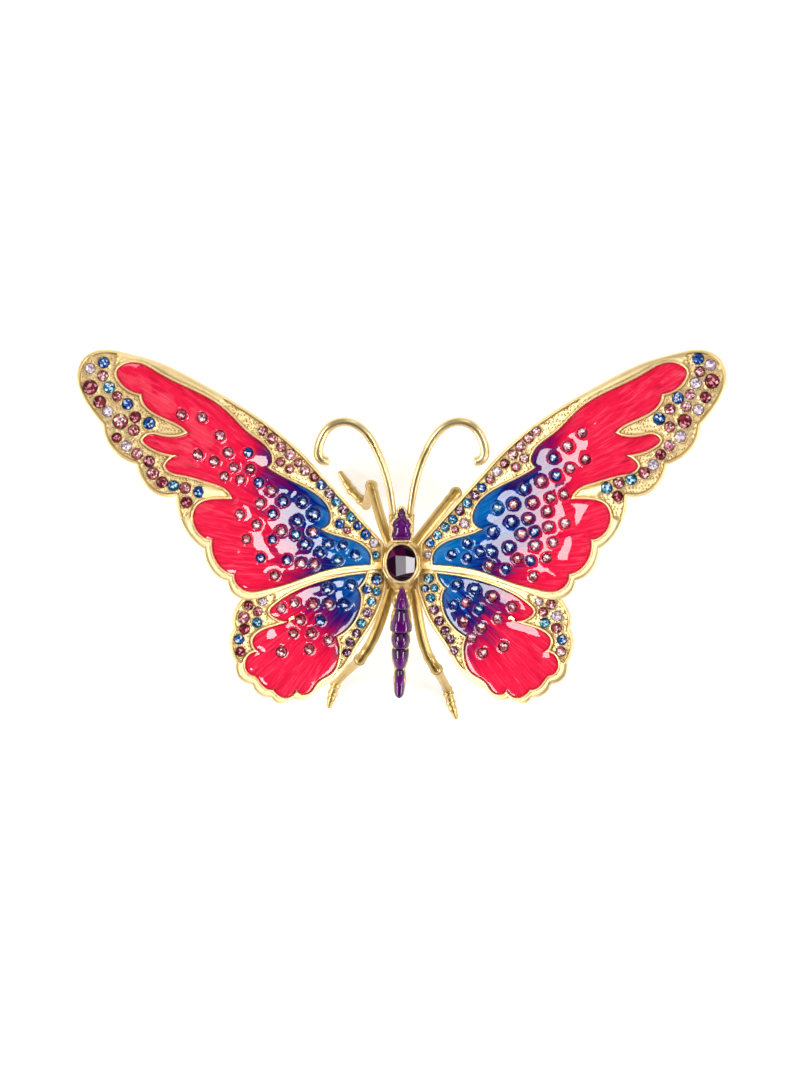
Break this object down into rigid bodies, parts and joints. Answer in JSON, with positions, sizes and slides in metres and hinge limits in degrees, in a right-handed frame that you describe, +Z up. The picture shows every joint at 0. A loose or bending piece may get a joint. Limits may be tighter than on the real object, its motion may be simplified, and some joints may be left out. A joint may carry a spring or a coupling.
{
  "type": "butterfly ornament",
  "caption": "Standing butterfly figurine in pale gold cast metal with enamelled wings, crystal borders, curled antennae and thin legs.",
  "frame": {"origin": "middle of the footprint box on the surface that the feet stand on", "axes": "+Z up, +Y towards the head, +X towards the right wings seen from above with the head up"},
  "size_m": [0.2016, 0.1165, 0.0688],
  "materials": {
    "gold": "satin pale gold plating",
    "screw": "plain",
    "purple_enamel": "glossy vitreous enamel",
    "wing_enamel": "glossy vitreous enamel, coral red blending to magenta and blue at the root",
    "oval_crystal": "faceted, foiled back",
    "sapphire_crystal": "faceted, foiled back",
    "aqua_crystal": "faceted, foiled back",
    "opal_crystal": "faceted, foiled back",
    "rose_crystal": "faceted, foiled back",
    "light_rose_crystal": "faceted, foiled back",
    "garnet_crystal": "faceted, foiled back",
    "amethyst_crystal": "faceted, foiled back"
  },
  "bodies": {
    "root": {"abdomen_enamel_1": "purple_enamel", "abdomen_enamel_2": "purple_enamel", "abdomen_enamel_3": "purple_enamel", "abdomen_enamel_4": "purple_enamel", "abdomen_enamel_5": "purple_enamel", "body_casting": "gold", "head_enamel": "purple_enamel", "left_antenna": "gold", "left_forewing_amethyst_stones": "amethyst_crystal", "left_forewing_aqua_stones": "aqua_crystal", "left_forewing_enamel": "wing_enamel", "left_forewing_frame": "gold", "left_forewing_garnet_stones": "garnet_crystal", "left_forewing_light_rose_stones": "light_rose_crystal", "left_forewing_opal_stones": "opal_crystal", "left_forewing_rose_stones": "rose_crystal", "left_forewing_sapphire_stones": "sapphire_crystal", "left_front_leg": "gold", "left_hindwing_amethyst_stones": "amethyst_crystal", "left_hindwing_aqua_stones": "aqua_crystal", "left_hindwing_enamel": "wing_enamel", "left_hindwing_frame": "gold", "left_hindwing_garnet_stones": "garnet_crystal", "left_hindwing_light_rose_stones": "light_rose_crystal", "left_hindwing_opal_stones": "opal_crystal", "left_hindwing_rose_stones": "rose_crystal", "left_hindwing_sapphire_stones": "sapphire_crystal", "left_rear_leg": "gold", "right_antenna": "gold", "right_forewing_amethyst_stones": "amethyst_crystal", "right_forewing_aqua_stones": "aqua_crystal", "right_forewing_enamel": "wing_enamel", "right_forewing_frame": "gold", "right_forewing_garnet_stones": "garnet_crystal", "right_forewing_light_rose_stones": "light_rose_crystal", "right_forewing_opal_stones": "opal_crystal", "right_forewing_rose_stones": "rose_crystal", "right_forewing_sapphire_stones": "sapphire_crystal", "right_front_leg": "gold", "right_hindwing_amethyst_stones": "amethyst_crystal", "right_hindwing_aqua_stones": "aqua_crystal", "right_hindwing_enamel": "wing_enamel", "right_hindwing_frame": "gold", "right_hindwing_light_rose_stones": "light_rose_crystal", "right_hindwing_opal_stones": "opal_crystal", "right_hindwing_rose_stones": "rose_crystal", "right_hindwing_sapphire_stones": "sapphire_crystal", "right_rear_leg": "gold", "thorax_bezel": "gold", "thorax_stone": "oval_crystal", "wing_screws": "screw"}
  },
  "joints": []
}
